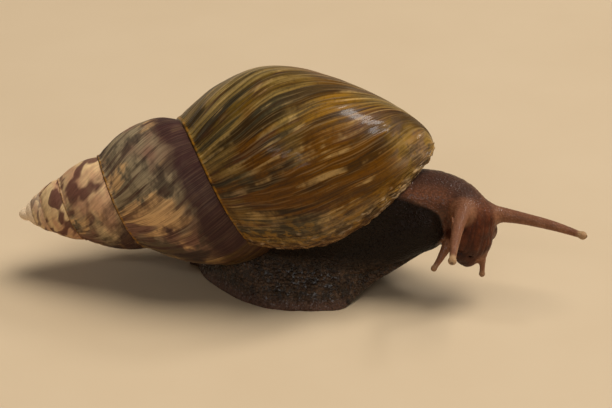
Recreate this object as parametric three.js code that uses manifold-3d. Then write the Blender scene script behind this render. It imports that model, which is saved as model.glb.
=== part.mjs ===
// Giant African land snail (Lissachatina fulica), life size, crawling with its foreparts lifted.
// Millimetres, +Z up, +X towards the head, -Y the animal's right side, sole flat on Z = 0.
import * as THREE from 'three';
import { mergeVertices } from 'three/addons/utils/BufferGeometryUtils.js';
import Module from 'manifold-3d';

const wasm = await Module();
wasm.setup();

// ---- Driving dimensions -------------------------------------------------------------------

const GAP = 0.3;                     // clearance between neighbouring parts

// Shell: a right-handed coil of seven turns about one straight axis.
const TURNS = 7;
const SHELL_LENGTH = 84.6;           // apex to base, along the axis
const INNER_BASE = 62;               // where the base lay one turn before the lip
const SUTURE_LENGTH = 45.4;          // apex to the suture at the lip, along the axis
const SUTURE_RADIUS = 16;            // radius of the suture at the lip
const COIL_GROWTH = 0.699;           // growth of the suture's advance, per turn (natural log)
const SPIRE_TAPER = 0.593;           // below 1, so that the spire's outline is convex
const LIP_CONTRACTION = 0.4;         // how far the last turn draws in towards the lip
const BASE_GROWTH = 0.31;            // growth of the hidden bases of the earlier turns
const APEX_BALL = { along: 1, length: 2, radius: 1.45 };   // blunt first whorl
const LIP_THICKNESS = 1.1;
const APEX = new THREE.Vector3(-57.5, 0.5, 13.8);
const AXIS_PITCH = 11.1;             // degrees, the base carried higher than the apex
const LIP_ANGLE = -30.1;             // degrees about the axis, from the right-hand horizontal

// Shell mesh: columns to a turn, rows from suture to suture, rows over the base.
const TURN_COLUMNS = 30;
const WHORL_ROWS = 4;
const BASE_ROWS = 5;

// Foot: stations from tail to front edge, with the sole's height, its half width, its centre
// and the height of the back above the sole.
const FOOT_STATIONS = [
  { x: -22.6, centre: 4.2, half: 1.6, sole: 0, back: 1.6 },
  { x: -21, centre: 3.8, half: 5.2, sole: 0, back: 2.8 },
  { x: -18.4, centre: 3, half: 8, sole: 0, back: 4.4 },
  { x: -14.4, centre: 1.8, half: 11.4, sole: 0, back: 6.4 },
  { x: -10.5, centre: 0.9, half: 13.4, sole: 0, back: 8.4 },
  { x: -6, centre: 0.3, half: 14.6, sole: 0, back: 10 },
  { x: 0, centre: 0, half: 14.9, sole: 0, back: 11 },
  { x: 6.5, centre: 0, half: 14.4, sole: 0, back: 11.5 },
  { x: 9.6, centre: 0, half: 12.4, sole: 0.9, back: 11.4 },
  { x: 12.8, centre: -0.3, half: 9.8, sole: 2.6, back: 11 },
  { x: 17, centre: -0.9, half: 8, sole: 4.8, back: 10.4 },
  { x: 20.6, centre: -1.4, half: 6.8, sole: 7, back: 9.6 },
  { x: 24, centre: -2, half: 5.6, sole: 9.2, back: 8.2 },
  { x: 27, centre: -2.5, half: 4.2, sole: 11, back: 6 },
  { x: 28.8, centre: -2.6, half: 1.8, sole: 12.6, back: 3 },
];
const FOOT_EDGE = 0.8;               // thickness of the foot's thin margin
const FOOT_SECTION = 15;             // points over the back of a section of the foot
const SOLE_SECTION = 5;              // points between the two margins, under the sole
const FOOT_STEPS = 26;

// Tubes of flesh: centre, half width, half depth, and the direction that the width lies in.
const STALK = [
  { at: [-2, 0.5, 1.6], side: [1, 0, 0], wide: 17, deep: 10 },
  { at: [1.5, -0.4, 8], side: [1, 0, 0], wide: 17, deep: 8.8 },
  { at: [5, -3, 14], side: [1, 0, 0], wide: 17, deep: 8.4 },
  { at: [8.4, -5.4, 20], side: [1, 0, 0], wide: 16, deep: 7.4 },
  { at: [10.5, -5, 25.5], side: [1, 0, 0], wide: 12, deep: 5.4 },
];
const NECK = [
  { at: [9, -4.2, 16.4], side: [0, -1, 0], wide: 6.8, deep: 6.6 },
  { at: [17, -3.8, 18.4], side: [0, -1, 0], wide: 6.6, deep: 6.4 },
  { at: [24, -3.9, 19.6], side: [-0.1, -1, 0], wide: 6.2, deep: 6 },
  { at: [29.4, -5.6, 18.9], side: [-0.5, -0.9, 0.1], wide: 5.7, deep: 5.6 },
  { at: [32.2, -8.2, 16.7], side: [-0.75, -0.6, 0.3], wide: 5.3, deep: 5.2 },
  { at: [32.6, -10.1, 13.9], side: [-0.82, -0.45, 0.36], wide: 4.9, deep: 4.3 },
  { at: [32.3, -11.2, 11.5], side: [-0.82, -0.45, 0.36], wide: 4, deep: 3.3 },
  { at: [31.9, -11.6, 10.5], side: [-0.82, -0.45, 0.36], wide: 2.6, deep: 2.1 },
];
const NECK_STEPS = 18;
const NECK_SIDES = 20;
const STALK_STEPS = 8;
const STALK_SIDES = 26;

// Feelers: the path of each, its thickness at the root and before the tip, and the tip's bulb.
const UPPER_TENTACLES = {
  left: [[35, -7.6, 18.4], [38.2, -7.1, 17.9], [43, -8.2, 17.2], [49, -10.2, 16.5], [54.9, -12, 15.7]],
  right: [[31.6, -8.4, 19.6], [31, -11.6, 20.9], [29.9, -16, 20.6], [28.8, -21.6, 19.5], [28, -27, 18.4]],
};
const UPPER_ROOT = 1.65;
const UPPER_SHAFT = 0.62;
const UPPER_BULB = 0.8;
const UPPER_STEPS = 14;
const EYE_RADIUS = 0.42;
const EYE_PROUD = 0.16;              // how far an eye stands out of the bulb that holds it
const EYE_GAP = 0.1;
const LOWER_TENTACLES = {
  left: [[34.2, -11, 12.4], [35, -11.7, 11], [35.2, -12.2, 9], [35.2, -12.5, 7.2]],
  right: [[30, -11, 13.6], [28.3, -12.2, 12.7], [26.6, -13.5, 11], [25.4, -14.5, 9.6]],
};
const LOWER_ROOT = 1.15;
const LOWER_SHAFT = 0.5;
const LOWER_BULB = 0.62;
const LOWER_STEPS = 8;
const FEELER_SIDES = 10;
const MOUTH_LOBES = {
  left: [33.4, -12.5, 10.4],
  right: [31, -13.4, 11.1],
};
const MOUTH_LOBE_RADII = [1.1, 0.9, 1.15];

// Cuts between named parts of the flesh: a point on each, and the direction it faces.
const TAIL_CUT = { at: [-11, 0, 0], faces: [1, 0, 0] };
const FRONT_CUT = { at: [9.5, 0, 0], faces: [1, 0, 0] };
const BACK_CUT = { at: [0, 0, 7.6], faces: [-0.1, 0, 1] };
const CREASE = { at: [10, 0, 15], faces: [-0.24, 0, 0.97] };
const HEAD_CUT = { at: [29.6, -5.8, 18.8], faces: [0.68, -0.55, -0.48] };
const UPPER_CUTS = [0.38, 0.7];      // along each upper tentacle, between its three lengths

// ---- Solids ----------------------------------------------------------------------------------

// Closes a list of points and triangles into a solid with its faces outwards.
function solidFrom(points, triangles) {
  const geometry = new THREE.BufferGeometry().setFromPoints(points);
  geometry.setIndex(triangles.flat());
  const merged = mergeVertices(geometry, 1e-4);
  const position = merged.getAttribute('position');
  const corners = Array.from(merged.getIndex().array);
  const kept = [];
  let volume = 0;
  const [a, b, c] = [new THREE.Vector3(), new THREE.Vector3(), new THREE.Vector3()];
  for (let i = 0; i < corners.length; i += 3) {
    const [p, q, r] = corners.slice(i, i + 3);
    if (p === q || q === r || r === p) continue;
    kept.push([p, q, r]);
    a.fromBufferAttribute(position, p);
    b.fromBufferAttribute(position, q);
    c.fromBufferAttribute(position, r);
    volume += a.dot(b.cross(c));
  }
  const ordered = volume < 0 ? kept.map(([p, q, r]) => [p, r, q]) : kept;
  return new wasm.Manifold(new wasm.Mesh({
    numProp: 3,
    vertProperties: new Float32Array(position.array),
    triVerts: new Uint32Array(ordered.flat()),
  }));
}

function solidFromGeometry(geometry) {
  const points = [];
  const position = geometry.getAttribute('position');
  for (let i = 0; i < position.count; i++) {
    points.push(new THREE.Vector3().fromBufferAttribute(position, i));
  }
  const index = geometry.getIndex().array;
  const triangles = [];
  for (let i = 0; i < index.length; i += 3) {
    triangles.push([index[i], index[i + 1], index[i + 2]]);
  }
  return solidFrom(points, triangles);
}

// The same solid without the slivers that cutting leaves in its surface.
function settled(solid) {
  const { vertProperties, triVerts } = solid.getMesh();
  return new wasm.Manifold(new wasm.Mesh({ numProp: 3, vertProperties, triVerts }));
}

function ellipsoid(centre, radii, across = 16, down = 10) {
  const geometry = new THREE.SphereGeometry(1, across, down);
  geometry.scale(...radii);
  geometry.translate(...centre);
  return solidFromGeometry(geometry);
}

// Joins closed loops of equal length into a solid, with a cap or a pole at each end.
function loftLoops(loops, startCap, endCap) {
  const size = loops[0].length;
  const points = loops.flat();
  const triangles = [];
  for (let i = 0; i + 1 < loops.length; i++) {
    for (let j = 0; j < size; j++) {
      const k = (j + 1) % size;
      triangles.push([i * size + j, (i + 1) * size + j, (i + 1) * size + k]);
      triangles.push([i * size + j, (i + 1) * size + k, i * size + k]);
    }
  }
  const last = (loops.length - 1) * size;
  for (const [a, b, c] of startCap(points, 0, size)) triangles.push([a, b, c]);
  for (const [a, b, c] of endCap(points, last, size)) triangles.push([a, c, b]);
  return solidFrom(points, triangles);
}

function poleCap(pole) {
  return (points, first, size) => {
    points.push(pole);
    const tip = points.length - 1;
    return Array.from({ length: size }, (_, j) => [first + j, first + ((j + 1) % size), tip]);
  };
}

// Fills a flat loop, given its outline in two dimensions.
function flatCap(outline) {
  const turned = THREE.ShapeUtils.isClockWise(outline);
  return (points, first) => THREE.ShapeUtils.triangulateShape(outline, [])
    .map((face) => face.map((corner) => first + corner))
    .map(([a, b, c]) => (turned ? [a, c, b] : [a, b, c]));
}

// Smooth path through stations, each giving a place, a side direction and two half widths.
function stationPath(stations) {
  const places = new THREE.CatmullRomCurve3(stations.map((s) => new THREE.Vector3(...s.at)));
  const sides = new THREE.CatmullRomCurve3(stations.map((s) => new THREE.Vector3(...s.side)));
  const widths = new THREE.CatmullRomCurve3(stations.map((s) => new THREE.Vector3(s.wide, s.deep, 0)));
  return (t, grow = 0) => {
    const centre = places.getPoint(t);
    const along = places.getTangent(t);
    const side = sides.getPoint(t);
    side.addScaledVector(along, -side.dot(along)).normalize();
    const depth = new THREE.Vector3().crossVectors(along, side);
    const width = widths.getPoint(t);
    return { centre, along, side, depth, wide: width.x + grow, deep: width.y + grow };
  };
}

// Elliptical ring of a tube, drawn in by `shrink` and moved along the tube by `shift`.
function ring(place, sides, shrink = 1, shift = 0) {
  return Array.from({ length: sides }, (_, j) => {
    const angle = (2 * Math.PI * j) / sides;
    return place.centre.clone()
      .addScaledVector(place.along, shift)
      .addScaledVector(place.side, Math.cos(angle) * place.wide * shrink)
      .addScaledVector(place.depth, Math.sin(angle) * place.deep * shrink);
  });
}

// Tube through stations, with a domed end at each side.
function tube(stations, steps, sides, grow = 0) {
  const at = stationPath(stations);
  const dome = [0.35, 0.7, 0.92];
  const first = at(0, grow);
  const last = at(1, grow);
  const bulge = (place) => Math.min(place.wide, place.deep);
  const domeRing = (place, s, sign) => ring(place, sides, Math.sqrt(1 - s * s), sign * s * bulge(place));
  const loops = [
    ...[...dome].reverse().map((s) => domeRing(first, s, -1)),
    ...Array.from({ length: steps + 1 }, (_, i) => ring(at(i / steps, grow), sides)),
    ...dome.map((s) => domeRing(last, s, 1)),
  ];
  const startPole = first.centre.clone().addScaledVector(first.along, -bulge(first));
  const endPole = last.centre.clone().addScaledVector(last.along, bulge(last));
  return loftLoops(loops, poleCap(startPole), poleCap(endPole));
}

// The half of space that a cut faces (sign 1) or leaves behind (sign -1), short of the cut.
function half(cut, sign) {
  const size = 400;
  const faces = new THREE.Vector3(...cut.faces).normalize().multiplyScalar(sign);
  const box = new THREE.BoxGeometry(size, size, size);
  box.applyQuaternion(new THREE.Quaternion().setFromUnitVectors(new THREE.Vector3(0, 0, 1), faces));
  const middle = new THREE.Vector3(...cut.at).addScaledVector(faces, size / 2 + GAP / 2);
  box.translate(middle.x, middle.y, middle.z);
  return solidFromGeometry(box);
}

const ahead = (cut) => half(cut, 1);
const behind = (cut) => half(cut, -1);
const keep = (solid, ...halves) => halves.reduce((piece, side) => piece.intersect(side), solid);

// ---- Shell -------------------------------------------------------------------------------------

const smooth = (x) => THREE.MathUtils.smoothstep(x, 0, 1);

// A place on an outline is [distance along the axis, distance from it, share of any swelling
// that lengthens the shell], and the growth in turns gives its angle.
const pitch = THREE.MathUtils.degToRad(AXIS_PITCH);
const shellAxis = new THREE.Vector3(Math.cos(pitch), 0, Math.sin(pitch));
const shellRight = new THREE.Vector3(0, -1, 0);
const shellUp = new THREE.Vector3().crossVectors(shellRight, shellAxis);
const turnAngle = (turn) => THREE.MathUtils.degToRad(LIP_ANGLE) + 2 * Math.PI * (TURNS - turn);

function shellPoint(turn, [along, radius]) {
  const angle = turnAngle(turn);
  return APEX.clone()
    .addScaledVector(shellAxis, along)
    .addScaledVector(shellRight, radius * Math.cos(angle))
    .addScaledVector(shellUp, radius * Math.sin(angle));
}

// The suture, where each turn meets the one before it, as [along, radius].
function suture(turn) {
  const along = SUTURE_LENGTH * Math.expm1(COIL_GROWTH * turn) / Math.expm1(COIL_GROWTH * TURNS);
  return [along, SUTURE_RADIUS * (along / SUTURE_LENGTH) ** SPIRE_TAPER];
}

// The base of the shell at each stage of growth, along the axis.
function basePoint(turn) {
  const grown = (t) => THREE.MathUtils.lerp(INNER_BASE, SHELL_LENGTH, smooth((t - TURNS + 1.12) / 0.74));
  return turn >= TURNS - 1 ? grown(turn) : grown(TURNS - 1) * Math.exp(BASE_GROWTH * (turn - TURNS + 1));
}

// Lower end of the bulging part of a whorl: the next suture, or on the open last turn the
// place where a next suture would lie.
function shoulder(turn, end) {
  const last = TURNS - 1;
  if (turn <= end - 1 || turn <= last) return suture(turn + 1);
  const m = Math.min(turn - last, 1);
  const [along, radius] = suture(turn);
  const reach = (suture(TURNS)[0] - suture(last)[0]) / (basePoint(last) - suture(last)[0]);
  const spread = suture(TURNS)[1] / suture(last)[1];
  return [
    along + (reach - 0.03 * m) * (basePoint(turn) - along),
    radius * (spread - LIP_CONTRACTION * m ** 3),
  ];
}

// Fullness of a whorl: flatter near the apex, and a little fuller above than below.
const FULLNESS_POWER = 2.4;
const FULLNESS_SKEW = 1.2;
function fullness(turn) {
  const above = 0.016 * Math.sin(turnAngle(turn)) * smooth(turn - 4.5);
  return 0.08 + 0.042 * smooth((turn - 4.9) / 0.6) + above;
}

// Outline of a whorl from its suture (u = 0) to its shoulder (u = 1).
function whorlOutline(turn, u, end) {
  const [along, radius] = suture(turn);
  const [nextAlong, nextRadius] = shoulder(turn, end);
  const [da, dr] = [nextAlong - along, nextRadius - radius];
  const bulge = fullness(turn) * (1 - Math.abs(2 * u ** FULLNESS_SKEW - 1) ** FULLNESS_POWER);
  return [along + u * da - bulge * dr, radius + u * dr + bulge * da, 0];
}

// Outline over the base, from the shoulder (u = 0) in to the axis (u = 1).
function baseOutline(turn, u, end) {
  const [along, radius] = suture(turn);
  const [edgeAlong, edgeRadius] = shoulder(turn, end);
  const slope = 2 * FULLNESS_POWER * FULLNESS_SKEW * fullness(turn);
  const [da, dr] = [edgeAlong - along, edgeRadius - radius];
  const tangent = new THREE.Vector2(da + slope * dr, dr - slope * da).normalize();
  const base = basePoint(turn);
  const lead = 0.37 * Math.hypot(base - edgeAlong, edgeRadius);
  const curve = new THREE.CubicBezierCurve(
    new THREE.Vector2(edgeAlong, edgeRadius),
    new THREE.Vector2(edgeAlong + tangent.x * lead, edgeRadius + tangent.y * lead),
    new THREE.Vector2(base, 0.3 * edgeRadius),
    new THREE.Vector2(base, 0),
  );
  const point = curve.getPoint(u);
  return [point.x, Math.max(point.y, 0), u];
}

// The shell as it stood when its lip was at `end` turns, as one solid, swollen by `grow`.
function coil(end, wholeTurns, grow = 0) {
  const points = [];
  const triangles = [];
  const columns = wholeTurns * TURN_COLUMNS;
  const swell = ([along, radius, lift]) => [along + lift * grow, radius > 0 ? radius + grow : 0];
  const put = (turn, place) => points.push(shellPoint(turn, swell(place))) - 1;
  const turnAt = (column) => end - (columns - column) / TURN_COLUMNS;
  const whorls = [];
  const bases = [];
  for (let i = 0; i <= columns; i++) {
    const turn = turnAt(i);
    const rows = Array.from({ length: WHORL_ROWS + 1 }, (_, j) => j / WHORL_ROWS);
    whorls.push(rows.map((u) => put(turn, whorlOutline(turn, u, end))));
    if (i >= columns - TURN_COLUMNS) {
      const down = Array.from({ length: BASE_ROWS + 1 }, (_, j) => j / BASE_ROWS);
      bases.push(down.map((u) => put(turn, baseOutline(turn, u, end))));
    }
  }
  const strip = (grid) => {
    for (let i = 0; i + 1 < grid.length; i++) {
      for (let j = 0; j + 1 < grid[i].length; j++) {
        triangles.push([grid[i][j], grid[i + 1][j], grid[i + 1][j + 1]]);
        triangles.push([grid[i][j], grid[i + 1][j + 1], grid[i][j + 1]]);
      }
    }
  };
  strip(whorls);
  strip(bases);
  const mouth = aperture(end, end);
  const onAxis = mouth.findIndex(([, radius]) => radius === 0);
  const tips = bases.map((_, i) => basePoint(turnAt(columns - i))).slice(1, -1);
  const steps = tips.filter((along, i) => Math.abs(along - (tips[i - 1] ?? mouth[onAxis][0])) > 1e-3);
  mouth.splice(onAxis + 1, 0, ...steps.map((along) => [along, 0, 1]));
  const mouthFirst = points.length;
  for (const place of mouth) put(end, place);
  const [low, high] = [mouth[onAxis + steps.length + 1][0], mouth[onAxis][0]];
  const bowed = (along) => -Math.sin(Math.PI * (along - low) / (high - low));
  const flat = mouth.map(([along, radius]) => new THREE.Vector2(along, radius || bowed(along)));
  for (const face of THREE.ShapeUtils.triangulateShape(flat, [])) {
    triangles.push(face.map((corner) => mouthFirst + corner));
  }
  const tip = put(turnAt(0), [-0.3, 0, -1]);
  for (let i = 0; i < TURN_COLUMNS; i++) triangles.push([whorls[i + 1][0], whorls[i][0], tip]);
  for (let j = 0; j < WHORL_ROWS; j++) triangles.push([whorls[0][j], whorls[0][j + 1], tip]);
  return solidFrom(points, triangles);
}

// Outline of the opening at a stage of growth: out along the lip, back along the inner turn.
function aperture(turn, end) {
  const whorl = Array.from({ length: WHORL_ROWS + 1 }, (_, j) => whorlOutline(turn, j / WHORL_ROWS, end));
  const base = Array.from({ length: BASE_ROWS }, (_, j) => baseOutline(turn, (j + 1) / BASE_ROWS, end));
  const inner = Array.from({ length: BASE_ROWS }, (_, j) => baseOutline(turn - 1, 1 - j / BASE_ROWS, end));
  return [...whorl, ...base, ...inner];
}

// What fills the last part of the whorl behind the lip, drawn in from its wall by `inset`.
function apertureFill(fromTurn, toTurn, inset, steps = 4) {
  const outlines = [];
  const loops = [];
  for (let i = 0; i <= steps; i++) {
    const turn = fromTurn + ((toTurn - fromTurn) * i) / steps;
    const places = aperture(turn, turn).slice(1);
    const middle = places.reduce(([a, r], [b, s]) => [a + b / places.length, r + s / places.length], [0, 0]);
    const drawn = places.map(([a, r]) => {
      const reach = Math.hypot(a - middle[0], r - middle[1]);
      const k = (reach - inset) / reach;
      return [middle[0] + (a - middle[0]) * k, middle[1] + (r - middle[1]) * k];
    });
    outlines.push(drawn.map(([a, r]) => new THREE.Vector2(a, r)));
    loops.push(drawn.map((place) => shellPoint(turn, place)));
  }
  return loftLoops(loops, flatCap(outlines[0]), flatCap(outlines[steps]));
}

// A rod on the shell's axis, which parts the pieces that meet there.
function axisRod({ from, to, radius }) {
  const rod = new THREE.CylinderGeometry(radius, radius, to - from, 8);
  rod.applyQuaternion(new THREE.Quaternion().setFromUnitVectors(new THREE.Vector3(0, 1, 0), shellAxis));
  const centre = APEX.clone().addScaledVector(shellAxis, (from + to) / 2);
  rod.translate(centre.x, centre.y, centre.z);
  return solidFromGeometry(rod);
}

// A thin slab in the plane of the opening, from the axis out past the lip.
function mouthSlab(from, to, reach, thickness) {
  const angle = turnAngle(TURNS);
  const outward = shellRight.clone().multiplyScalar(Math.cos(angle)).addScaledVector(shellUp, Math.sin(angle));
  const across = new THREE.Vector3().crossVectors(outward, shellAxis);
  const slab = new THREE.BoxGeometry(to - from, thickness, reach);
  slab.translate((from + to) / 2, 0, reach / 2);
  slab.applyMatrix4(new THREE.Matrix4().makeBasis(shellAxis, across, outward));
  slab.translate(APEX.x, APEX.y, APEX.z);
  return solidFromGeometry(slab);
}

const INNER_ROD = { from: 30, to: INNER_BASE + 3, radius: GAP };
const OUTER_ROD = { from: 50, to: SHELL_LENGTH + GAP, radius: GAP };
const COLUMELLA = { from: 63, to: 69.5, radius: 3.6 };
const MOUTH_REACH = 26;
const RECESS = { from: 6.925, to: 7.004 };
const MANTLE = { from: 6.93, to: 6.997 };

const apexBall = ellipsoid(
  APEX.clone().addScaledVector(shellAxis, APEX_BALL.along).toArray(),
  [APEX_BALL.length, APEX_BALL.radius, APEX_BALL.radius],
  12,
  8,
);
const innerRod = axisRod(INNER_ROD);
const innerSlab = mouthSlab(INNER_ROD.from - 10, INNER_ROD.to, MOUTH_REACH, GAP);
const shellSpire = coil(TURNS - 1, TURNS - 2, -GAP / 2).add(apexBall).subtract(innerRod).subtract(innerSlab);
const spireSpace = coil(TURNS - 1, TURNS - 2, GAP / 2).add(apexBall).add(innerRod);
const shellBodyWhorl = settled(coil(TURNS, TURNS - 1).subtract(spireSpace)
  .subtract(apertureFill(RECESS.from, RECESS.to, LIP_THICKNESS)));
const shellSpace = coil(TURNS, TURNS - 1, GAP).add(axisRod(OUTER_ROD)).add(axisRod(COLUMELLA))
  .add(mouthSlab(SUTURE_LENGTH - 10, SHELL_LENGTH, MOUTH_REACH, 2 * GAP)).add(shellBodyWhorl)
  .add(shellBodyWhorl.translate(shellAxis.clone().multiplyScalar(GAP).toArray()));
const mantleCollar = apertureFill(MANTLE.from, MANTLE.to, LIP_THICKNESS + GAP);

// ---- Flesh -------------------------------------------------------------------------------------

// The foot: a flat sole with a thin margin, and a back that rises from it.
function foot() {
  const track = (value) => {
    const curve = new THREE.SplineCurve(FOOT_STATIONS.map((s) => new THREE.Vector2(s.x, value(s))));
    return (t) => curve.getPoint(t);
  };
  const sole = track((s) => s.sole);
  const centre = track((s) => s.centre);
  const halfWidth = track((s) => s.half);
  const back = track((s) => s.back);
  const loops = [];
  for (let i = 0; i <= FOOT_STEPS; i++) {
    const t = i / FOOT_STEPS;
    const { x, y: level } = sole(t);
    const bottom = x < 7.4 ? 0 : Math.max(level, 0);
    const loop = [];
    for (let j = 0; j < FOOT_SECTION; j++) {
      const angle = (Math.PI * j) / (FOOT_SECTION - 1);
      const rise = FOOT_EDGE + (back(t).y - FOOT_EDGE) * Math.sin(angle) ** 1.5;
      loop.push(new THREE.Vector3(x, centre(t).y + halfWidth(t).y * Math.cos(angle), bottom + rise));
    }
    for (let j = 0; j < SOLE_SECTION; j++) {
      const across = -1 + (2 * j) / (SOLE_SECTION - 1);
      loop.push(new THREE.Vector3(x, centre(t).y + 0.97 * halfWidth(t).y * across, bottom));
    }
    loops.push(loop);
  }
  const middleOf = (loop) => loop.reduce((sum, point) => sum.addScaledVector(point, 1 / loop.length),
    new THREE.Vector3());
  return loftLoops(loops, poleCap(middleOf(loops[0])), poleCap(middleOf(loops[FOOT_STEPS])));
}

const neckAndHead = tube(NECK, NECK_STEPS, NECK_SIDES);
const headSpace = tube(NECK, NECK_STEPS, NECK_SIDES, GAP);
const stalk = keep(tube(STALK, STALK_STEPS, STALK_SIDES), ahead({ at: [0, 0, -GAP / 2], faces: [0, 0, 1] }));
const body = foot().add(stalk).add(neckAndHead).subtract(shellSpace);

const footTail = keep(body, behind(TAIL_CUT));
const footMiddle = keep(body, ahead(TAIL_CUT), behind(FRONT_CUT), behind(BACK_CUT));
const trunk = keep(body, ahead(TAIL_CUT), behind(FRONT_CUT), ahead(BACK_CUT));
const footFront = keep(foot().add(stalk), ahead(FRONT_CUT), behind(CREASE))
  .subtract(shellSpace)
  .subtract(headSpace);
const neck = keep(neckAndHead.add(keep(stalk, ahead(CREASE))), ahead(FRONT_CUT), behind(HEAD_CUT))
  .subtract(shellSpace);
const head = keep(neckAndHead, ahead(HEAD_CUT));

// A feeler: a tapering tube from inside the head, ending in a small bulb.
function feeler(path, root, shaft, bulb, steps) {
  const count = path.length - 1;
  const stations = path.map((at, i) => {
    const width = i === 0 ? root : THREE.MathUtils.lerp(root * 0.9, shaft, smooth((i / count) ** 0.8));
    return { at, side: [0.1, 0.1, 1], wide: width, deep: width };
  });
  const tip = path[count];
  return tube(stations, steps, FEELER_SIDES).add(ellipsoid(tip, [bulb, bulb, bulb], 10, 7));
}

// A cut across a feeler, part of the way along its path.
function feelerCut(path, t) {
  const curve = new THREE.CatmullRomCurve3(path.map((at) => new THREE.Vector3(...at)));
  return { at: curve.getPoint(t).toArray(), faces: curve.getTangent(t).toArray() };
}

function eyeCentre(path) {
  const count = path.length - 1;
  const tip = new THREE.Vector3(...path[count]);
  const forward = tip.clone().sub(new THREE.Vector3(...path[count - 1])).normalize();
  return tip.addScaledVector(forward, UPPER_BULB - EYE_RADIUS + EYE_PROUD);
}

// ---- The model -----------------------------------------------------------------------------------

function material(color, roughness) {
  return new THREE.MeshStandardMaterial({ color, roughness, metalness: 0 });
}

const SPIRE_COLOUR = 0xa98c72;
const BODY_WHORL_COLOUR = 0x7c6227;
const FOOT_COLOUR = 0x3b322c;
const NECK_COLOUR = 0x6e4f40;
const FEELER_COLOUR = 0x9a7560;
const EYE_COLOUR = 0x2a2220;

const group = new THREE.Group();

function addPart(name, solid, color, roughness) {
  const { vertProperties, triVerts } = solid.getMesh();
  const geometry = new THREE.BufferGeometry();
  geometry.setAttribute('position', new THREE.BufferAttribute(vertProperties, 3));
  geometry.setIndex(new THREE.BufferAttribute(triVerts, 1));
  geometry.computeVertexNormals();
  const mesh = new THREE.Mesh(geometry, material(color, roughness));
  mesh.name = name;
  group.add(mesh);
}

addPart('shell_spire', shellSpire, SPIRE_COLOUR, 0.4);
addPart('shell_body_whorl', shellBodyWhorl, BODY_WHORL_COLOUR, 0.3);
addPart('mantle_collar', mantleCollar, NECK_COLOUR, 0.35);
addPart('trunk', trunk, FOOT_COLOUR, 0.4);
addPart('foot_tail', footTail, FOOT_COLOUR, 0.4);
addPart('foot_middle', footMiddle, FOOT_COLOUR, 0.4);
addPart('foot_front', footFront, FOOT_COLOUR, 0.4);
addPart('neck', neck, NECK_COLOUR, 0.35);
addPart('head', head, NECK_COLOUR, 0.35);

for (const side of ['left', 'right']) {
  const upper = feeler(UPPER_TENTACLES[side], UPPER_ROOT, UPPER_SHAFT, UPPER_BULB, UPPER_STEPS).subtract(headSpace);
  const cuts = UPPER_CUTS.map((t) => feelerCut(UPPER_TENTACLES[side], t));
  const eye = eyeCentre(UPPER_TENTACLES[side]).toArray();
  const socket = EYE_RADIUS + EYE_GAP;
  addPart(`upper_tentacle_${side}_base`, keep(upper, behind(cuts[0])), FEELER_COLOUR, 0.3);
  addPart(`upper_tentacle_${side}_shaft`, keep(upper, ahead(cuts[0]), behind(cuts[1])), FEELER_COLOUR, 0.3);
  addPart(
    `upper_tentacle_${side}_tip`,
    keep(upper, ahead(cuts[1])).subtract(ellipsoid(eye, [socket, socket, socket], 10, 7)),
    FEELER_COLOUR,
    0.3,
  );
  addPart(`eye_${side}`, ellipsoid(eye, [EYE_RADIUS, EYE_RADIUS, EYE_RADIUS], 10, 7), EYE_COLOUR, 0.15);
  const lower = feeler(LOWER_TENTACLES[side], LOWER_ROOT, LOWER_SHAFT, LOWER_BULB, LOWER_STEPS).subtract(headSpace);
  addPart(`lower_tentacle_${side}`, lower, FEELER_COLOUR, 0.3);
  const lobe = ellipsoid(MOUTH_LOBES[side], MOUTH_LOBE_RADII, 10, 7).subtract(headSpace);
  addPart(`mouth_lobe_${side}`, lobe, NECK_COLOUR, 0.35);
}

// The origin is the middle of the bottom of the whole model.
const bounds = new THREE.Box3().setFromObject(group);
const middle = bounds.getCenter(new THREE.Vector3());
group.position.set(-middle.x, -middle.y, -bounds.min.z);

export default group;
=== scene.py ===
import math
from itertools import product

import bpy
import numpy as np
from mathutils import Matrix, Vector


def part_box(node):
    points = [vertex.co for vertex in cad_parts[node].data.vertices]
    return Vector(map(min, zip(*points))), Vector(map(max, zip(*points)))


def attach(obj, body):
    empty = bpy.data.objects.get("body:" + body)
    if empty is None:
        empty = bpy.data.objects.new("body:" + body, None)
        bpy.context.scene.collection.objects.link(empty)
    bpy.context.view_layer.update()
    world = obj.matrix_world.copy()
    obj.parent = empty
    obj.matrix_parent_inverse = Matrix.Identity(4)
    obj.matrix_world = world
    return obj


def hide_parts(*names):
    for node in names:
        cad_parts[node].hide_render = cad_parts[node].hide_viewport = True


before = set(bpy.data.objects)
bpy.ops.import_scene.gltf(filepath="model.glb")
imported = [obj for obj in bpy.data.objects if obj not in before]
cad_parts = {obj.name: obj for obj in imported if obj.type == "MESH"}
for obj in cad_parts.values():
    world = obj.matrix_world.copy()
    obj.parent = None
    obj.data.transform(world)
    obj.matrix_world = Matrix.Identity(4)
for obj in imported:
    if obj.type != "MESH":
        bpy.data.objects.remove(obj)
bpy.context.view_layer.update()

scene = bpy.context.scene

# Giant African land snail. The shapes are worked out in millimetres in the animal's own frame, which
# differs from the model's by a shift alone: the left eye's place in both gives the shift.


def array(*rows):
    return np.array(rows, float)


MM = 0.001
CORNERS = tuple(product((0, 1), repeat=3))
LEFT_EYE = array(55.412, -12.156, 15.631)
eye_low, eye_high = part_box("eye_left")
OFFSET = np.array((eye_low + eye_high) / 2) / MM - LEFT_EYE


def unit(v):
    return v / np.maximum(np.linalg.norm(v, axis=-1, keepdims=True), 1e-12)


def smooth(x):
    x = np.clip(x, 0, 1)
    return x * x * (3 - 2 * x)


def ramp(x, low, high):
    """From 0 at low to 1 at high, smoothly."""
    return smooth((x - low) / (high - low))


def peak(x, centre, width):
    """A bell of height 1 round a centre."""
    return np.exp(-(((x - centre) / width) ** 2))


# ---- Noise ----


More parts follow.
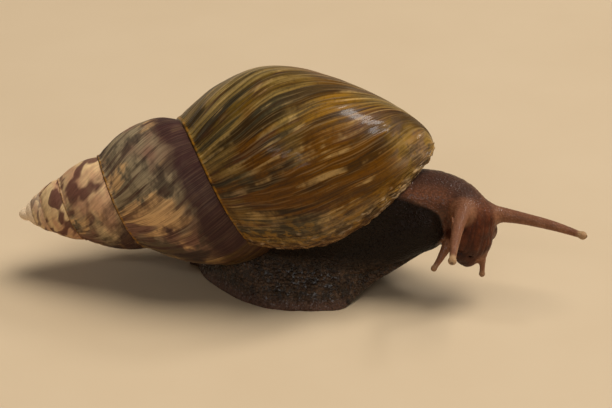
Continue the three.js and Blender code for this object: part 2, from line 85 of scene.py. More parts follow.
def lattice(i, j, k, seed):
    """A fixed random number from 0 to 1 for each whole-numbered place."""
    h = (i * 73856093) ^ (j * 19349663) ^ (k * 83492791) ^ (seed * 40503 + 977)
    h = h & 0xFFFFFFFF
    h = ((h ^ (h >> 15)) * 2246822519) & 0xFFFFFFFF
    h = ((h ^ (h >> 13)) * 3266489917) & 0xFFFFFFFF
    return ((h ^ (h >> 16)) & 0xFFFFFF) / float(0xFFFFFF)


def noise(seed, x, y=0.0, z=0.0):
    """Smooth noise from -1 to 1 with features of unit size."""
    p = np.stack(np.broadcast_arrays(x, y, z), -1)
    base = np.floor(p).astype(np.int64)
    f = p - base
    w = smooth(f)
    total = np.zeros(p.shape[:-1])
    for corner in CORNERS:
        weight = np.where(corner, w, 1 - w).prod(-1)
        total += weight * lattice(*np.moveaxis(base + corner, -1, 0), seed)
    return 2 * total - 1


def nearest(seed, p):
    """Distance to the nearest of points scattered one to each unit cell."""
    base = np.floor(p).astype(np.int64)
    best = np.full(p.shape[:-1], 9.0)
    for offset in product((-1, 0, 1), repeat=3):
        c = base + offset
        d = np.zeros(p.shape[:-1])
        for axis in range(3):
            d += (c[..., axis] + lattice(*np.moveaxis(c, -1, 0), seed + 31 * axis) - p[..., axis]) ** 2
        best = np.minimum(best, d)
    return np.sqrt(best)


# ---- Meshes ----


def make_mesh(name, points, faces, values):
    """A smooth-shaded object from points in millimetres, quads, and named values at the points."""
    mesh = bpy.data.meshes.new(name)
    points = (points + OFFSET) * MM
    mesh.vertices.add(len(points))
    mesh.vertices.foreach_set("co", points.astype(np.float32).ravel())
    mesh.loops.add(faces.size)
    mesh.loops.foreach_set("vertex_index", faces.astype(np.int32).ravel())
    mesh.polygons.add(len(faces))
    mesh.polygons.foreach_set("loop_start", np.arange(0, faces.size, 4, dtype=np.int32))
    mesh.polygons.foreach_set("loop_total", np.full(len(faces), 4, np.int32))
    mesh.update(calc_edges=True)
    mesh.validate()
    mesh.polygons.foreach_set("use_smooth", np.ones(len(mesh.polygons), bool))
    for key, value in values.items():
        attribute = mesh.attributes.new(key, "FLOAT", "POINT")
        attribute.data.foreach_set("value", value.astype(np.float32))
    obj = bpy.data.objects.new(name, mesh)
    scene.collection.objects.link(obj)
    return obj


def grid_faces(ids, keep=None):
    """Quads over a two-dimensional grid of point numbers."""
    quads = np.stack([ids[:-1, :-1], ids[1:, :-1], ids[1:, 1:], ids[:-1, 1:]], -1)
    return quads.reshape(-1, 4) if keep is None else quads[keep]


class Sheets:
    """Collects grids of points with their faces and values, to make one mesh of them all."""

    def __init__(self):
        self.points, self.faces, self.values = [], [], []
        self.count = 0

    def add(self, grid, keep=None, flip=False, **values):
        """Adds a grid of points, with a value for all or for each, and returns the points' numbers."""
        ids = self.count + np.arange(grid[..., 0].size).reshape(grid.shape[:-1])
        faces = grid_faces(ids, keep)
        self.count += ids.size
        self.points.append(grid.reshape(-1, 3))
        self.faces.append(faces[:, ::-1] if flip else faces)
        self.values.append({key: np.broadcast_to(part, ids.shape).ravel() for key, part in values.items()})
        return ids

    def mesh(self, name):
        points = np.concatenate(self.points)
        faces = np.concatenate(self.faces)
        used = np.unique(faces)
        number = np.zeros(len(points), np.int64)
        number[used] = np.arange(len(used))
        values = {key: np.concatenate([part[key] for part in self.values])[used] for key in self.values[0]}
        return make_mesh(name, points[used], number[faces], values)


# ---- Shell shape ----

TURNS = 7
SHELL_LENGTH = 84.6
SUTURE_LENGTH = 45.4  # from the apex to the end of the suture, along the axis
SUTURE_RADIUS = 16  # and the suture's distance from the axis there
COIL_GROWTH = 0.699
SPIRE_TAPER = 0.593
LIP_CONTRACTION = 0.4
LIP_DROP = 0.03
INNER_BASE = 62  # where the base of the whorl before last meets the axis
BASE_START = 1.12  # turns before the lip at which the base starts to reach forward
BASE_SPAN = 0.74  # and the turns it takes
BASE_GROWTH = 0.31
BASE_LEAD = 0.37  # how far the shoulder's curve carries on into the base
BASE_NARROW = 0.3
APEX = array(-57.5, 0.5, 13.8)
AXIS_PITCH = math.radians(11.1)
LIP_ANGLE = math.radians(-30.1)
FULLNESS_POWER = 2.4
FULLNESS_SKEW = 1.2
SHELL_AXIS = array(math.cos(AXIS_PITCH), 0, math.sin(AXIS_PITCH))
SHELL_RIGHT = array(0, -1, 0)
SHELL_UP = np.cross(SHELL_RIGHT, SHELL_AXIS)


def turn_angle(n):
    return LIP_ANGLE + 2 * math.pi * (TURNS - n)


def axis_place(along, radius, angle):
    """A place given by its distance along the shell's axis, its distance from it and its angle round it."""
    return (
        APEX
        + SHELL_AXIS * along[..., None]
        + SHELL_RIGHT * (radius * np.cos(angle))[..., None]
        + SHELL_UP * (radius * np.sin(angle))[..., None]
    )


def suture(n):
    along = SUTURE_LENGTH * np.expm1(COIL_GROWTH * n) / math.expm1(COIL_GROWTH * TURNS)
    return along, SUTURE_RADIUS * (along / SUTURE_LENGTH) ** SPIRE_TAPER


def base_point(n):
    """Where the base meets the axis."""
    grown = INNER_BASE + (SHELL_LENGTH - INNER_BASE) * smooth((n - TURNS + BASE_START) / BASE_SPAN)
    inner = INNER_BASE + (SHELL_LENGTH - INNER_BASE) * smooth((BASE_START - 1) / BASE_SPAN)
    return np.where(n >= TURNS - 1, grown, inner * np.exp(BASE_GROWTH * (n - TURNS + 1)))


def shoulder(n):
    """Where the whorl's side ends: on the next suture, or on the free edge of the last whorl."""
    last = TURNS - 1
    closed_along, closed_radius = suture(np.minimum(n, last) + 1)
    m = np.clip(n - last, 0, 1)
    along, radius = suture(n)
    lip, start = suture(float(TURNS)), suture(float(last))
    reach = (lip[0] - start[0]) / (base_point(np.array(float(last))) - start[0])
    open_along = along + (reach - LIP_DROP * m) * (base_point(n) - along)
    open_radius = radius * (lip[1] / start[1] - LIP_CONTRACTION * m**3)
    return np.where(n <= last, closed_along, open_along), np.where(n <= last, closed_radius, open_radius)


def fullness(n):
    """How far the whorl's side bulges, as a share of its width."""
    above = 0.016 * np.sin(turn_angle(n)) * smooth(n - 4.5)
    return 0.08 + 0.042 * smooth((n - 4.9) / 0.6) + above


def outline(n, v):
    """The shell's section: v runs from the suture (0) to the shoulder (1) and on to the axis (2)."""
    along, radius = suture(n)
    edge_along, edge_radius = shoulder(n)
    da, dr = edge_along - along, edge_radius - radius
    u = np.clip(v, 0, 1)
    bulge = fullness(n) * (1 - np.abs(2 * u**FULLNESS_SKEW - 1) ** FULLNESS_POWER)
    slope = 2 * FULLNESS_POWER * FULLNESS_SKEW * fullness(n)
    ta, tr = da + slope * dr, dr - slope * da
    base = base_point(n)
    lead = BASE_LEAD * np.hypot(base - edge_along, edge_radius) / np.hypot(ta, tr)
    t = np.clip(v - 1, 0, 1)
    w0, w1, w2, w3 = (1 - t) ** 3, 3 * t * (1 - t) ** 2, 3 * t * t * (1 - t), t**3
    base_along = w0 * edge_along + w1 * (edge_along + ta * lead) + (w2 + w3) * base
    base_radius = w0 * edge_radius + w1 * (edge_radius + tr * lead) + w2 * BASE_NARROW * edge_radius
    on_base = v > 1
    return (
        np.where(on_base, base_along, along + u * da - bulge * dr),
        np.maximum(np.where(on_base, base_radius, radius + u * dr + bulge * da), 0),
    )


GROWTH_LEAN = 0.11  # turns by which a growth line leans back over the side of the whorl
BASE_LEAN = 0.06  # and how fast the lean grows over the base
MOST_LEAN = 0.25
LEAN_ENDS = 0.42  # turns before the lip from which the lines turn to follow it


def growth_of(n, v):
    """The shell's age, in turns. Lines of equal age lean back, but near the lip they follow it."""
    lean = np.minimum(GROWTH_LEAN * v + BASE_LEAN * np.maximum(v - 0.9, 0) ** 2, MOST_LEAN)
    return n + lean * (1 - ramp(n, TURNS - LEAN_ENDS, TURNS))


def shell_relief(n, v, age):
    """Height of the growth ridges, dents and worn layers, in millimetres."""
    height = 0.08 * noise(1, age * 40, v * 2.2)
    height += 0.055 * noise(2, age * 130, v * 4, 7)
    height += 0.03 * noise(3, age * 300, v * 8, 3)
    height += 0.04 * noise(4, n * 26, v * 9, 5)
    rests = np.clip(noise(5, age * 17) - 0.35, 0, 1)
    steps = np.abs(noise(6, age * 60, v * 3.2))
    height -= 0.16 * rests * (1 - steps)
    layers = noise(9, age * 420, v * 5, 1)
    height += 0.05 * ramp(n, 6.955, 6.995) * np.sign(layers) * smooth(np.abs(layers) * 4)
    wrinkles = noise(10, age * 75, v * 9, 2) + 0.5 * noise(14, age * 170, v * 16)
    corner = ramp(n, 6.68, 6.82) * ramp(v, 1.36, 1.60)
    height += 0.16 * wrinkles * np.maximum(ramp(n, 6.86, 6.95), 1.3 * corner)
    edge = ramp(v, 0, 0.03) * (1 - ramp(v, 0.97, 1) * (n < TURNS - 1)) * (1 - ramp(v, 1.8, 2))
    bead = 0.16 * peak(v, 0.018, 0.012) * (1 + 0.8 * noise(8, n * 60))
    groove = -0.07 * peak(v, 0.06, 0.02)
    return np.clip((n - 1.5) / 4.5, 0.12, 1) * (height * edge + (bead + groove) * ramp(v, 0, 0.012))


def lip_chip(v):
    """How far the broken edge of the lip falls short of the last growth line, in turns."""
    rough = 0.0007 * (1 + noise(11, v * 44))
    bites = 0.006 * np.clip(noise(12, v * 17) - 0.3, 0, 1)
    worn = 0.007 * ramp(v, 1.2, 1.5) * (0.5 + 0.5 * noise(13, v * 26))
    return (rough + bites + worn) * ramp(v, 0, 0.04)


def rounded(n, v, along, radius):
    """Evens out the curve over the shoulder of the last whorl."""
    share = 0.9 * ramp(n, 6.0, 6.12) * peak(v, 1, 0.34)

    def even(line):
        line = line.copy()
        for _ in range(int(0.012 * n.shape[1] ** 2)):
            middle = 0.5 * (line[:, :-2] + line[:, 2:])
            line[:, 1:-1] += share[:, 1:-1] * (middle - line[:, 1:-1])
        return line

    evened = even(along), even(radius)
    return [soft + even(line - soft) for soft, line in zip(evened, (along, radius))]


DETAIL = 1.0
ROWS = int(150 * DETAIL)
SPANS = (  # from and to, in turns, and the steps to a turn
    (0.25, 3, 120), (3, 5, 260), (5, 6, 460), (6, 6.9, 840), (6.9, 7, 1300),
)
SHOWN_BASE = 5.55  # the turn from which the base is made
INNER_FROM = 6.62  # and the wall's inner side
LIP_WALL = 0.28  # the wall's thickness at the lip
WALL_GAIN = 0.95  # what it gains further in
FLAKE_HEIGHT = 0.26
FIRST_TURN = 0.6
FIRST_LENGTH = 2.0  # half the length of the blunt first whorl
FIRST_RADIUS = 1.45
PILLAR_FROM = 58
PILLAR_TO = 82.4


def build_shell():
    turns = [
        np.linspace(low, high, max(2, int((high - low) * steps * DETAIL)), endpoint=False)
        for low, high, steps in SPANS
    ]
    turns = np.concatenate(turns + [[TURNS]])
    v_line = np.linspace(0, 1, ROWS)
    v_line = np.concatenate([v_line**1.15, 1 + v_line[1:]])
    n, v = np.meshgrid(turns, v_line, indexing="ij")
    chipped = n - np.clip((n - 6.9) / 0.1, 0, 1) ** 2 * lip_chip(v)
    age = growth_of(chipped, v)
    along, radius = rounded(chipped, v, *outline(chipped, v))
    ta, tr = np.gradient(along, axis=1), np.gradient(radius, axis=1)
    scale = np.maximum(np.hypot(ta, tr), 1e-12)
    out_along, out_radius = -tr / scale, ta / scale
    worn = ramp(n, 6.90, 6.985) * (0.55 + 0.45 * ramp(v, 1.0, 1.35))
    flakes = noise(21, n * 210, v * 12) * 0.6 + noise(22, n * 90, v * 24)
    relief = shell_relief(chipped, v, age) + worn * FLAKE_HEIGHT * (np.floor(flakes * 2.5) / 2.5 + 0.1)
    sheets = Sheets()
    far = np.maximum(radius + relief * out_radius, 0)
    top = axis_place(along + relief * out_along, far, turn_angle(chipped))
    shown = (v_line[None, :-1] < 1 - 1e-9) | (turns[:-1, None] > SHOWN_BASE)
    outer = sheets.add(top, keep=shown, growth=age, across=v, turn=chipped, inside=0,
                       wear=worn * (0.5 + 0.5 * flakes))

    # The wall's inner side behind the lip, and the rim between the two.
    part = turns > INNER_FROM
    n_in, v_in = chipped[part], v[part]
    depth = np.clip((TURNS - n[part]) * 60, 0, 40)
    wall = LIP_WALL + WALL_GAIN * (1 - np.exp(-depth / 2.2))
    wall = wall * (1 + 0.25 * noise(23, v_in * 16, n_in * 30))
    far = np.maximum(radius[part] - wall * out_radius[part], 0.02)
    under = axis_place(along[part] - wall * out_along[part], far, turn_angle(n_in))
    inner = sheets.add(under, flip=True, growth=age[part], across=v_in, turn=n_in, inside=1, wear=0)
    sheets.faces.append(grid_faces(np.stack([outer[-1], inner[-1]])))

    # The blunt first whorl.
    lat, lon = np.meshgrid(np.linspace(0, math.pi, 40), np.linspace(0, 2 * math.pi, 60), indexing="ij")
    ball = axis_place(1.0 - FIRST_LENGTH * np.cos(lat), FIRST_RADIUS * np.sin(lat), lon)
    sheets.add(ball, growth=FIRST_TURN - lon / (2 * math.pi), across=lat / math.pi, turn=FIRST_TURN,
               inside=0, wear=0)

    # The pillar inside the mouth.
    step, lon = np.meshgrid(np.linspace(0, 1, 60), np.linspace(0, 2 * math.pi, 48), indexing="ij")
    thick = (0.9 + 2.4 * (1 - step) ** 1.2) * (1 + 0.16 * np.sin(lon + 5 * step)) * np.sqrt(1 - step**9)
    pillar = axis_place(PILLAR_FROM + (PILLAR_TO - PILLAR_FROM) * step, thick, lon)
    sheets.add(pillar, flip=True, growth=6.9, across=1.5, turn=6.985, inside=1, wear=0)
    return sheets.mesh("shell")


# ---- Flesh shape ----

FOOT = array(  # place, centre, half width, height of the sole, height of the back above it
    (-22.6, 4.2, 1.6, 0, 1.6), (-21, 3.8, 5.2, 0, 2.8), (-18.4, 3, 8, 0, 4.4), (-14.4, 1.8, 11.4, 0, 6.4),
    (-10.5, 0.9, 13.4, 0, 8.4), (-6, 0.3, 14.6, 0, 10), (0, 0, 14.9, 0, 11), (6.5, 0, 14.4, 0, 11.5),
    (9.6, 0, 12.4, 0.9, 11.4), (12.8, -0.3, 9.8, 2.6, 11), (17, -0.9, 8, 4.8, 10.4),
    (20.6, -1.4, 6.8, 7, 9.6), (24, -2, 5.6, 9.2, 8.2), (27, -2.5, 4.2, 11, 6), (28.8, -2.6, 1.8, 12.6, 3),
)
FOOT_EDGE = 0.8
STALK = array(  # centre, half width, half depth
    (-2, 0.5, 1.6, 17, 10), (1.5, -0.4, 8, 17, 8.8), (5, -3, 14, 17, 8.4), (8.4, -5.4, 20, 16, 7.4),
    (10.5, -5, 25.5, 12, 5.4),
)
STALK_SIDE = array(1, 0, 0)
STALK_BOTTOM = 3.0
NECK = array(  # centre, half width, half depth
    (9, -4.2, 16.4, 6.8, 6.6), (17, -3.8, 18.4, 6.6, 6.4), (24, -3.9, 19.6, 6.2, 6),
    (29.4, -5.6, 18.9, 5.7, 5.6), (32.2, -8.2, 16.7, 5.3, 5.2), (32.6, -10.1, 13.9, 4.9, 4.3),
    (32.3, -11.2, 11.8, 4, 3.3), (32.0, -11.6, 11.0, 2.9, 2.2),
)
NECK_SIDE = array(
    (0, -1, 0), (0, -1, 0), (-0.1, -1, 0), (-0.5, -0.9, 0.1), (-0.75, -0.6, 0.3), (-0.82, -0.45, 0.36),
    (-0.82, -0.45, 0.36), (-0.82, -0.45, 0.36),
)
NECK_EDGE = array((14, 24.5), (18, 23.5), (24, 21.4), (26.4, 20.0), (27.4, 16), (28.2, 10), (29.4, 0))
FOOT_FRONT = array((9, -3.4, 9.5), (16.5, -5.8, 13), (23.1, -7.2, 15.7))
FOOT_FRONT_WIDTHS = array((7.6, 6.6), (6.4, 6.2), (5.6, 5.5))
THROAT = array((24, -3, 14.0), (27.5, -4.4, 13.4), (30, -7, 13.2))
THROAT_WIDTHS = array((3.4, 3.2), (3.2, 3.0), (3.0, 2.8))
TO_RIGHT = array(0, -1, 0)
UPPER_FEELERS = (  # the left and the right one
    array((34.4, -7.8, 18.4), (38.4, -7.2, 17.9), (43, -8.2, 17.55), (49, -10.2, 16.95), (54.9, -12, 15.7)),
    array((31.4, -7.6, 19.6), (31, -11.6, 20.9), (29.9, -16, 20.6), (28.8, -21.6, 19.5), (28, -27, 18.4)),
)
UPPER_WIDTHS = (array(2.2, 1.62, 1.22, 0.98, 0.62), array(2.9, 1.85, 1.32, 0.95, 0.6))
UPPER_BULB = array(0.84, 0.84, 0.84)
LOWER_FEELERS = (
    array((34.2, -11, 12.4), (35, -11.7, 11), (35.2, -12.2, 9), (35.2, -12.5, 7.2)),
    array((29.6, -9.6, 15.0), (28.2, -11.4, 13.2), (26.6, -13.3, 11), (25.4, -14.5, 9.6)),
)
LOWER_ROOTS = (1.3, 1.9)
LOWER_END = 0.5
LOWER_BULB = array(0.62, 0.62, 0.62)
FEELER_SIDE = array(0.1, 0.1, 1)
MOUTH_LOBES = array((33.2, -12.4, 11.3), (31, -13.2, 11.8))
MOUTH_LOBE_RADII = array(1.35, 0.9, 1.0)
MOUTH = array(32.7, -13.4, 12.0)
MOUTH_RADII = array(0.5, 0.36, 0.3)
# the radii of the painted shade in the mouth's opening
MOUTH_SHADE = array(0.45, 0.8, 0.35)
CHEEK = array(36.9, -7.2, 14.1)
CHEEK_RADII = array(1.5, 1.4, 2.0)
# where a pale painted sheen sits on the cheek
CHEEK_SHEEN = CHEEK + array(0.9, -1.0, -0.2)
FACE = array(32.6, -11.5, 14)
HEAD_SIDE = array(0.824, 0.435, -0.364)
HEAD_UP = array(0.352, 0.108, 0.926)
COLLAR_TURN = 6.97  # the turn whose section the mantle's collar fills
COLLAR_DEPTH = 2.6  # how far behind the lip it lies
COLLAR_HALF = 1.5  # and half its thickness
WALL = 1.15  # how far inside the shell's outline the flesh stays
PITCH = 0.2
FIELD_BOX = array((-24.6, -29.6, -0.6), (57.4, 17.4, 30.0))
FOOT_BOX = ((-24.4, -17, -1), (31, 17.4, 24))
STALK_BOX = ((-19, -17, -1), (29, 14, 30))
NECK_BOX = ((0, -20, 4), (41, 5, 29))
COLLAR_BOX = ((-16, -22, 3), (32, 8, 34))


def spline(rows, t):
    """Catmull-Rom curve through rows, with t from 0 to 1 over them all."""
    padded = np.concatenate([[2 * rows[0] - rows[1]], rows, [2 * rows[-1] - rows[-2]]])
    x = np.clip(t, 0, 1) * (len(rows) - 1)
    i = np.minimum(x.astype(int), len(rows) - 2)
    f = (x - i)[..., None]
    p0, p1, p2, p3 = padded[i], padded[i + 1], padded[i + 2], padded[i + 3]
    return 0.5 * (2 * p1 + (p2 - p0) * f + (2 * p0 - 5 * p1 + 4 * p2 - p3) * f**2
                  + (3 * p1 - p0 - 3 * p2 + p3) * f**3)


def least(a, b, width):
    """The smaller of two distances, with the crease between them rounded over a width."""
    h = np.clip(0.5 + 0.5 * (b - a) / width, 0, 1)
    return a * h + b * (1 - h) - width * h * (1 - h)


def most(a, b, width):
    return -least(-a, -b, width)


def around(places, margin):
    places = np.atleast_2d(places)
    return places.min(0) - margin, places.max(0) + margin


class Field:
    """Signed distance to the flesh on a grid of points, in millimetres, below zero inside."""

    def __init__(self, low, high, pitch):
        self.low, self.pitch = low, pitch
        self.size = np.ceil((high - low) / pitch).astype(int) + 1
        self.value = np.full(self.size, 4.0, np.float32)

    def window(self, low, high):
        """The part of the grid in a box, and its points' places along the axes."""
        a = np.clip(np.floor((low - self.low) / self.pitch).astype(int), 0, self.size - 1)
        b = np.clip(np.ceil((high - self.low) / self.pitch).astype(int) + 1, 1, self.size)
        part = tuple(slice(i, j) for i, j in zip(a, b))
        axes = [(self.low[k] + self.pitch * np.arange(a[k], b[k])).astype(np.float32) for k in range(3)]
        return part, np.meshgrid(*axes, indexing="ij", sparse=True)

    def join(self, box, blend, shape, *settings):
        """Adds a shape, given by its distance function."""
        part, place = self.window(*box)
        self.value[part] = least(shape(*place, *settings), self.value[part], blend)

    def carve(self, box, blend, shape, *settings):
        """Takes away what lies inside a shape."""
        part, place = self.window(*box)
        self.value[part] = most(-shape(*place, *settings), self.value[part], blend)


def tube_distance(x, y, z, places, sides, widths, samples):
    """Distance to a bent tube of elliptical section with domed ends. One side may serve for all places."""
    t = np.linspace(0, 1, samples)
    centre = spline(places, t)
    ahead = unit(np.gradient(centre, axis=0))
    side = spline(np.broadcast_to(sides, places.shape), t)
    side = unit(side - ahead * (side * ahead).sum(-1, keepdims=True))
    up = np.cross(ahead, side)
    width = spline(widths, t)
    spacing = np.linalg.norm(np.gradient(centre, axis=0), axis=1)
    best = np.full(np.broadcast(x, y, z).shape, 1e9, np.float32)
    which = np.zeros(best.shape, np.int16)
    for i in range(samples):
        d = (x - centre[i, 0]) ** 2 + (y - centre[i, 1]) ** 2 + (z - centre[i, 2]) ** 2
        closer = d < best
        best[closer] = d[closer]
        which[closer] = i
    c = centre[which].astype(np.float32)
    dx, dy, dz = x - c[..., 0], y - c[..., 1], z - c[..., 2]
    s, a, b = (dx * v[which, 0] + dy * v[which, 1] + dz * v[which, 2] for v in (ahead, side, up))
    at = np.clip(which + np.clip(s / spacing[which], -0.6, 0.6), 0, samples - 1)
    wide = np.interp(at, np.arange(samples), width[:, 0])
    deep = np.interp(at, np.arange(samples), width[:, 1])
    over = np.where((which == 0) & (s < 0) | (which == samples - 1) & (s > 0), s, 0)
    span = np.sqrt(a**2 + b**2 + over**2)
    rho = np.sqrt((a / wide) ** 2 + (b / deep) ** 2 + (over / np.minimum(wide, deep)) ** 2)
    return (span * (1 - 1 / np.maximum(rho, 0.05))).astype(np.float32)


def ellipsoid_distance(x, y, z, centre, radii):
    local = x - centre[0], y - centre[1], z - centre[2]
    span = np.sqrt(sum(c**2 for c in local))
    rho = np.sqrt(sum((c / r) ** 2 for c, r in zip(local, radii)))
    return span * (1 - 1 / np.maximum(rho, 0.05))


def foot_distance(x, y, z):
    """The foot: a flat sole with a thin margin, and a back that rises from it."""
    track = spline(FOOT, np.linspace(0, 1, 400))
    at = np.clip(x, track[0, 0], track[-1, 0])
    columns = [np.interp(at, track[:, 0], track[:, k]).astype(np.float32) for k in (1, 2, 3, 4)]
    centre, half, sole, back = columns
    sole = np.maximum(sole, 0) * ramp(at, 7.0, 9.0)
    flare = 0.8 * peak(np.maximum(z - sole, 0), 0, 1.3) * ramp(half, 2, 6) + 0.07 * np.sin(1.3 * at)
    q = np.abs(y - centre) / np.maximum(half - 0.6 + flare, 0.4)
    rise = np.maximum(z - sole - FOOT_EDGE, 0) / np.maximum(back - FOOT_EDGE, 0.3)
    value = (q**2 + rise ** (4 / 3) + 1e-6) ** 0.5 - 1 + 0.6 * np.abs(x - at)
    gx, gy, gz = np.gradient(value.astype(np.float32), PITCH)
    distance = value / np.maximum(np.sqrt(gx**2 + gy**2 + gz**2), 0.04)
    return most(distance, 0.9 * (sole - z), 0.05 + 1.6 * ramp(at, 7.5, 12))


def stalk_distance(x, y, z):
    """The body between the foot and the shell."""
    stalk = tube_distance(x, y, z, STALK[:, :3], STALK_SIDE, STALK[:, 3:], 36)
    return np.maximum(stalk, STALK_BOTTOM - z)


def foot_front_distance(x, y, z):
    return tube_distance(x, y, z, FOOT_FRONT, TO_RIGHT, FOOT_FRONT_WIDTHS, 30)


def shell_coordinates(x, y, z):
    """Place along the shell's axis, distance from it, and angle behind the lip from -pi to pi."""
    dx, dy, dz = x - APEX[0], y - APEX[1], z - APEX[2]
    along, right, up = (dx * a[0] + dy * a[1] + dz * a[2] for a in (SHELL_AXIS, SHELL_RIGHT, SHELL_UP))
    behind = (np.arctan2(up, right) - LIP_ANGLE + math.pi) % (2 * math.pi) - math.pi
    return along, np.hypot(right, up), behind


def section_radius(n, along):
    """The last whorl's outer radius at a place along the axis."""
    a, r = outline(np.full(400, float(n)), np.linspace(0, 2, 400))
    return np.interp(along, a, r, left=0, right=0)


def collar_distance(x, y, z):
    """The mantle's collar: flesh that closes the shell's mouth a little behind the lip."""
    along, radius, behind = shell_coordinates(x, y, z)
    rim = radius - (section_radius(COLLAR_TURN, along) - WALL)
    slab = np.abs(radius * behind - COLLAR_DEPTH) - COLLAR_HALF
    return most(rim, np.where(np.abs(behind) < 1.4, slab, 4.0), 1.2)


def inside_shell(points):
    """Points behind the lip are drawn in until they lie within the shell's wall."""
    along, radius, behind = shell_coordinates(*points.T)
    turns = np.linspace(6.45, TURNS, 56)
    places = np.linspace(30, 86, 225)
    table = np.stack([section_radius(n, places) for n in turns])
    i = np.clip((TURNS - behind / (2 * math.pi) - turns[0]) / (turns[1] - turns[0]), 0, len(turns) - 1.001)
    j = np.clip((along - places[0]) / (places[1] - places[0]), 0, len(places) - 1.001)
    i0, j0 = i.astype(int), j.astype(int)
    fi, fj = i - i0, j - j0
    low, high = (table[i0 + k, j0] * (1 - fj) + table[i0 + k, j0 + 1] * fj for k in (0, 1))
    limit = low * (1 - fi) + high * fi - WALL
    covered = (behind > 0.02) & (along > 44) & (limit > 1) & (radius > limit) & (radius < limit + 3)
    pull = np.where(covered, limit / np.maximum(radius, 0.1), 1)
    on_axis = APEX + SHELL_AXIS * along[:, None]
    return on_axis + (points - on_axis) * pull[:, None]


def build_field():
    """All the flesh: each shape, and the width over which it blends into the rest."""
    field = Field(*FIELD_BOX, PITCH)
    field.join(FOOT_BOX, 0.5, foot_distance)
    field.join(STALK_BOX, 3.0, stalk_distance)
    field.join(NECK_BOX, 1.1, tube_distance, NECK[:, :3], NECK_SIDE, NECK[:, 3:], 70)
    for path, width in zip(UPPER_FEELERS, UPPER_WIDTHS):
        widths = np.stack([width, width], -1)
        field.join(around(path, 4), 2.2, tube_distance, path, FEELER_SIDE, widths, 60)
        field.join(around(path, 4), 0.35, ellipsoid_distance, path[-1], UPPER_BULB)
    for path, root in zip(LOWER_FEELERS, LOWER_ROOTS):
        share = np.linspace(0, 1, len(path))
        width = np.where(share == 0, root, 0.85 * root + (LOWER_END - 0.85 * root) * smooth(share**0.7))
        widths = np.stack([width, width], -1)
        field.join(around(path, 3), 0.9, tube_distance, path, FEELER_SIDE, widths, 30)
        field.join(around(path, 3), 0.25, ellipsoid_distance, path[-1], LOWER_BULB)
    field.join(around(THROAT, 6), 1.6, tube_distance, THROAT, TO_RIGHT, THROAT_WIDTHS, 24)
    field.join(around(CHEEK, 4), 0.7, ellipsoid_distance, CHEEK, CHEEK_RADII)
    for centre in MOUTH_LOBES:
        field.join(around(centre, 3), 0.5, ellipsoid_distance, centre, MOUTH_LOBE_RADII)
    field.carve(around(MOUTH, 2), 0.3, ellipsoid_distance, MOUTH, MOUTH_RADII)
    field.join(around(FOOT_FRONT, 8), 0.9, foot_front_distance)
    field.join(COLLAR_BOX, 1.2, collar_distance)
    return field


def surface_net(field):
    """Quads near the zero level of a field, with one point in each cell of the grid that it crosses."""
    inside = field.value < 0
    size = np.array(inside.shape) - 1
    count = np.zeros(size, np.int8)
    for i, j, k in CORNERS:
        count += inside[i:i + size[0], j:j + size[1], k:k + size[2]]
    active = (count > 0) & (count < 8)
    cell = np.argwhere(active)
    number = np.full(size, -1, np.int32)
    number[active] = np.arange(len(cell))
    total = np.zeros((len(cell), 3))
    hits = np.zeros(len(cell))
    for axis in range(3):
        for c in CORNERS:
            if c[axis]:
                continue
            d = np.array(c)
            d[axis] = 1
            a = field.value[tuple((cell + c).T)].astype(float)
            b = field.value[tuple((cell + d).T)].astype(float)
            cross = (a < 0) != (b < 0)
            place = np.tile(np.array(c, float), (len(cell), 1))
            place[:, axis] = np.where(cross, a / np.where(cross, a - b, 1), 0)
            total += place * cross[:, None]
            hits += cross
    points = field.low + field.pitch * (cell + total / hits[:, None])
    faces = []
    for axis in range(3):
        first = [slice(1, -1)] * 3
        second = [slice(1, -1)] * 3
        first[axis], second[axis] = slice(0, -1), slice(1, None)
        a, b = inside[tuple(first)], inside[tuple(second)]
        edge = np.argwhere(a != b)
        flip = a[tuple(edge.T)]
        edge = edge + [0 if k == axis else 1 for k in range(3)]
        corners = []
        for step in ((-1, -1), (0, -1), (0, 0), (-1, 0)):
            c = edge.copy()
            c[:, (axis + 1) % 3] += step[0]
            c[:, (axis + 2) % 3] += step[1]
            corners.append(number[tuple(c.T)])
        quad = np.stack(corners, -1)
        faces.append(np.where(flip[:, None], quad, quad[:, ::-1]))
    faces = np.concatenate(faces)
    return points, faces[(faces >= 0).all(1)]


def sample(field, points):
    """The field and its gradient at any points, by trilinear reading."""
    q = (points - field.low) / field.pitch
    base = np.clip(np.floor(q).astype(int), 0, field.size - 2)
    f = q - base
    total = np.zeros(len(points))
    gradient = np.zeros_like(points)
    for corner in CORNERS:
        value = field.value[tuple((base + corner).T)].astype(float)
        share = np.where(corner, f, 1 - f)
        total += value * share.prod(-1)
        for axis in range(3):
            others = np.delete(share, axis, 1).prod(-1)
            gradient[:, axis] += (1 if corner[axis] else -1) * value * others
    return total, gradient / field.pitch


def vertex_normals(points, faces):
    a, b, c, d = (points[faces[:, k]] for k in range(4))
    cross = np.cross(c - a, d - b)
    total = np.zeros_like(points)
    for k in range(4):
        for axis in range(3):
            total[:, axis] += np.bincount(faces[:, k], cross[:, axis], len(points))
    return unit(total)


def near_path(points, path, samples=60):
    """For each point, the share of the way along a path and the distance to it."""
    best = np.full(len(points), 1e9)
    share = np.zeros(len(points))
    for i, place in enumerate(spline(path, np.linspace(0, 1, samples))):
        d = ((points - place) ** 2).sum(-1)
        closer = d < best
        best[closer] = d[closer]
        share[closer] = i / (samples - 1)
    return share, np.sqrt(best)


def near_place(points, place, near, far):
    """1 near a place and 0 far from it."""
    return 1 - ramp(np.linalg.norm(points - place, axis=1), near, far)


def spot(points, place, radii):
    return np.exp(-(((points - place) / radii) ** 2).sum(-1))


